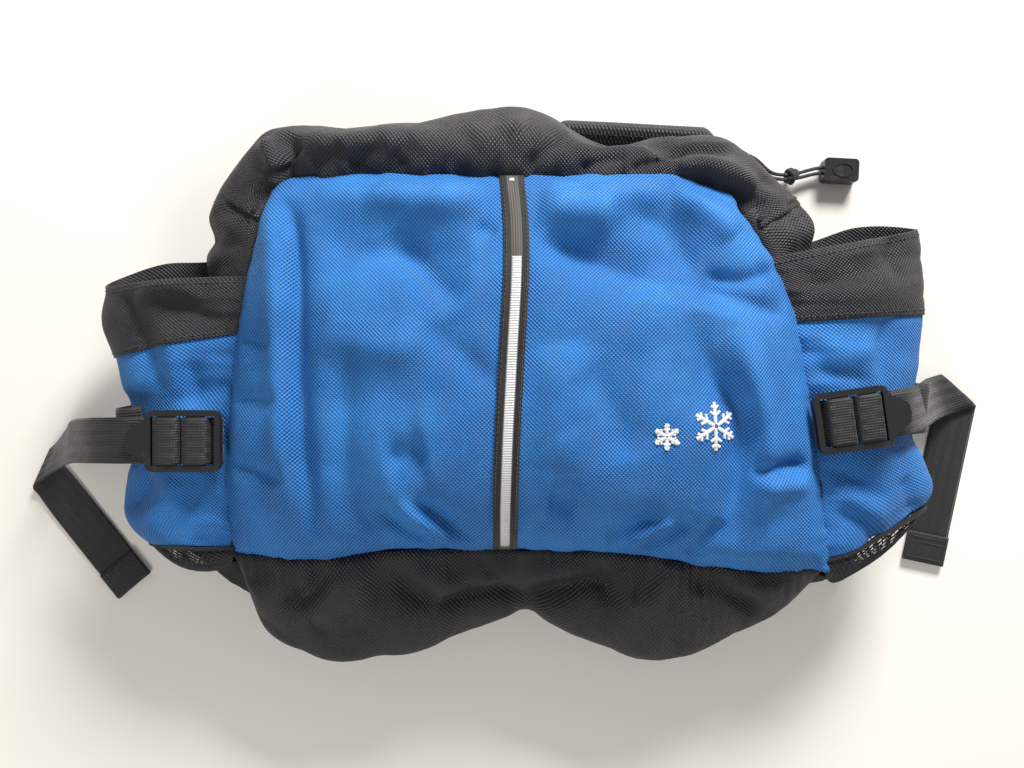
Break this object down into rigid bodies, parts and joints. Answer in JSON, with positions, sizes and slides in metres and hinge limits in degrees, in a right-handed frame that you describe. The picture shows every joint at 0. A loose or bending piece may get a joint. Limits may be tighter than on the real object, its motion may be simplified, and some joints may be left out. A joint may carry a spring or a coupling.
{
  "type": "lumbar pack",
  "caption": "Lumbar pack lying on its back: zipped main compartment, side pockets with straps, and belt wings folded under.",
  "frame": {"origin": "on the surface the pack lies on, under the middle of its bounding box", "axes": "+Z out of the front panel, +Y towards the zipped mouth, +X to the wearer's right seen from behind"},
  "size_m": [0.5715, 0.3122, 0.1098],
  "materials": {
    "blue_cloth": "woven polyester",
    "black_cloth": "woven polyester",
    "webbing": "herringbone webbing",
    "reflective": "reflective tape",
    "white_thread": "embroidery thread",
    "mesh": "open mesh",
    "zip": "coil zip",
    "zip_metal": "black enamel",
    "cord": "braided cord",
    "moulding": "matt acetal"
  },
  "bodies": {
    "pack": {"front_panel": "blue_cloth", "centre_tape": "webbing", "reflective_line": "reflective", "front_badge": "white_thread", "top_corner_left": "black_cloth", "top_corner_right": "black_cloth", "piping_left": "black_cloth", "piping_right": "black_cloth", "rear_lip": "black_cloth", "side_gusset_left": "black_cloth", "side_gusset_right": "black_cloth", "bottom_gusset": "black_cloth", "back_panel": "black_cloth", "lumbar_pad": "mesh", "zip_tape_rear": "zip", "zip_coil_rear": "zip", "zip_tape_closed_end": "zip", "zip_coil_closed_end": "zip", "zip_stop_open": "zip_metal", "zip_stop_closed": "zip_metal", "pocket_wall_left": "blue_cloth", "pocket_band_left": "black_cloth", "pocket_mesh_left": "mesh", "pocket_wall_right": "blue_cloth", "pocket_band_right": "black_cloth", "pocket_mesh_right": "mesh", "strap_run_left": "webbing", "strap_run_right": "webbing", "strap_tail_left": "webbing", "strap_tail_right": "webbing", "strap_hem_left": "webbing", "strap_hem_right": "webbing", "wing_root_left": "black_cloth", "wing_root_right": "black_cloth"},
    "mouth": {"mouth_lip": "black_cloth", "zip_tape_lip": "zip", "zip_coil_lip": "zip"},
    "slider": {"slider_body": "zip_metal"},
    "pull": {"pull_tab": "zip_metal", "pull_cord": "cord", "pull_knot": "cord", "pull_grip": "moulding"},
    "buckle_left": {"ladderlock_left": "moulding", "buckle_anchor_left": "webbing", "strap_wrap_left": "webbing"},
    "buckle_right": {"ladderlock_right": "moulding", "buckle_anchor_right": "webbing", "strap_wrap_right": "webbing"},
    "wing_left": {"belt_wing_left": "black_cloth", "belt_webbing_left": "webbing", "belt_socket": "moulding"},
    "wing_right": {"belt_wing_right": "black_cloth", "belt_webbing_right": "webbing", "belt_plug": "moulding"}
  },
  "joints": [
    {"name": "mouth_open", "type": "hinge", "parent": "pack", "child": "mouth", "pos_m": [0.008, 0.112, 0.082], "axis": [1, 0, 0], "range_deg": [0, 50]},
    {"name": "slider_travel", "type": "slide", "parent": "pack", "child": "slider", "axis": [-0.9986, 0.0523, 0], "range_m": [0, 0.235]},
    {"name": "pull_swing", "type": "hinge", "parent": "slider", "child": "pull", "pos_m": [0.13012, 0.13044, 0.0386], "axis": [0, 0, 1], "range_deg": [0, 70]},
    {"name": "buckle_left_tilt", "type": "hinge", "parent": "pack", "child": "buckle_left", "pos_m": [-0.146, -0.0305, 0.0756], "axis": [0, 1, 0], "range_deg": [0, 60]},
    {"name": "buckle_right_tilt", "type": "hinge", "parent": "pack", "child": "buckle_right", "pos_m": [0.16852, -0.02228, 0.0766], "axis": [0.1392, -0.9903, 0], "range_deg": [0, 60]},
    {"name": "wing_left_swing", "type": "hinge", "parent": "pack", "child": "wing_left", "pos_m": [-0.2, -0.04, 0.015], "axis": [0, 1, 0], "range_deg": [0, 90]},
    {"name": "wing_right_swing", "type": "hinge", "parent": "pack", "child": "wing_right", "pos_m": [0.224, -0.05, 0.015], "axis": [0, -1, 0], "range_deg": [0, 90]}
  ],
  "couplings": [
    {"joint": "slider_travel", "follows": "mouth_open", "m_per_rad": 0.26872}
  ]
}
